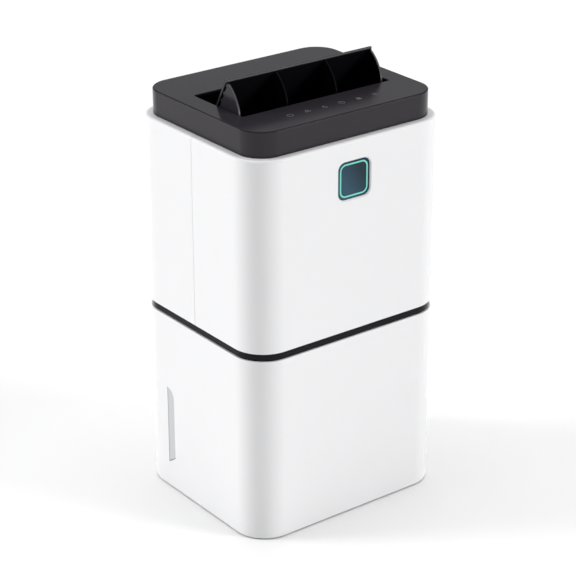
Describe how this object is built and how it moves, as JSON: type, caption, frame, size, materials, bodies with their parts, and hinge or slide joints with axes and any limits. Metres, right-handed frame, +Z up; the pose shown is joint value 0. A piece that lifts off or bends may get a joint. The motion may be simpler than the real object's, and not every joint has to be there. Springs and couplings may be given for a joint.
{
  "type": "dehumidifier",
  "caption": "Upright compressor dehumidifier with a white casing, black belt line, dark cap, tilting air flap, rear water tank and lift-off intake grille.",
  "frame": {"origin": "on the floor under the middle of the casing", "axes": "+Z up, -Y out of the front face with the display, +X to the right of someone facing the front"},
  "size_m": [0.278, 0.238, 0.5353],
  "materials": {
    "shell_white": "satin gloss",
    "liner_white": "matt moulded",
    "cap_grey": "satin gloss",
    "belt_black": "gloss",
    "duct_black": "matt moulded",
    "pan_grey": "matt moulded",
    "rubber": "matt",
    "mark_grey": "printed",
    "lens_blue": "gloss",
    "light_ring": "lit light guide",
    "window_clear": "smoked clear",
    "tank_clear": "translucent moulded",
    "steel": "plain",
    "fin_aluminium": "plain",
    "copper": "drawn copper",
    "compressor_black": "satin paint",
    "motor_grey": "satin paint",
    "board_green": "lacquered board",
    "handle_grey": "satin moulded",
    "float_orange": "foam",
    "filter_blue": "matt moulded",
    "filter_mesh": "woven net"
  },
  "bodies": {
    "root": {"base_pan": "pan_grey", "rubber_feet": "rubber", "lower_casing": "shell_white", "rear_frame": "shell_white", "level_window": "window_clear", "bay_bulkhead": "liner_white", "belt_ring": "belt_black", "mid_deck": "liner_white", "front_housing": "shell_white", "rear_housing": "shell_white", "top_cap": "cap_grey", "touch_marks": "mark_grey", "touch_board": "board_green", "display_bezel": "shell_white", "display_lens": "lens_blue", "display_light_ring": "light_ring", "display_board": "board_green", "control_board": "board_green", "outlet_duct": "duct_black", "outlet_guard": "duct_black", "flap_bushes": "handle_grey", "flap_motor": "steel", "scroll_front": "duct_black", "scroll_rear": "duct_black", "fan_motor": "motor_grey", "evaporator_fins": "fin_aluminium", "evaporator_tubes": "copper", "condenser_fins": "fin_aluminium", "condenser_tubes": "copper", "compressor_shell": "compressor_black", "compressor_grommets": "rubber", "terminal_cover": "duct_black", "accumulator": "compressor_black", "suction_pipe": "copper", "discharge_pipe": "copper", "filter_drier": "copper", "capillary_tube": "copper", "drip_tray": "duct_black", "drain_spigot": "liner_white", "cord_gland": "rubber", "run_capacitor": "steel", "reed_switch": "duct_black", "humidity_sensor": "board_green", "casing_screws": "steel"},
    "flap": {"flap_lid": "cap_grey", "flap_vanes": "cap_grey", "flap_shaft": "steel"},
    "impeller": {"fan_impeller": "pan_grey", "fan_shaft": "steel"},
    "tank": {"tank_bucket": "tank_clear", "tank_panel": "shell_white", "tank_lid": "liner_white"},
    "handle": {"tank_handle": "handle_grey"},
    "float": {"tank_float": "float_orange"},
    "intake": {"intake_grille": "shell_white", "filter_frame": "filter_blue", "filter_mesh": "filter_mesh"},
    "plug": {"drain_plug": "rubber"}
  },
  "joints": [
    {"name": "flap_tilt", "type": "hinge", "parent": "root", "child": "flap", "pos_m": [0, -0.0056, 0.492], "axis": [-1, 0, 0], "range_deg": [-62, 18]},
    {"name": "fan_spin", "type": "hinge", "parent": "root", "child": "impeller", "pos_m": [0, 0, 0.332], "axis": [0, 1, 0], "continuous": true},
    {"name": "tank_slide", "type": "slide", "parent": "root", "child": "tank", "axis": [0, 1, 0], "range_m": [0, 0.13]},
    {"name": "handle_swing", "type": "hinge", "parent": "tank", "child": "handle", "pos_m": [0, 0.06, 0.178], "axis": [-1, 0, 0], "range_deg": [0, 90]},
    {"name": "float_swing", "type": "hinge", "parent": "tank", "child": "float", "pos_m": [-0.092, 0.025, 0.16], "axis": [1, 0, 0], "range_deg": [0, 14]},
    {"name": "grille_slide", "type": "slide", "parent": "root", "child": "intake", "axis": [0, 1, 0], "range_m": [0, 0.05]},
    {"name": "plug_pull", "type": "slide", "parent": "root", "child": "plug", "axis": [0, 1, 0], "range_m": [0, 0.03]}
  ]
}
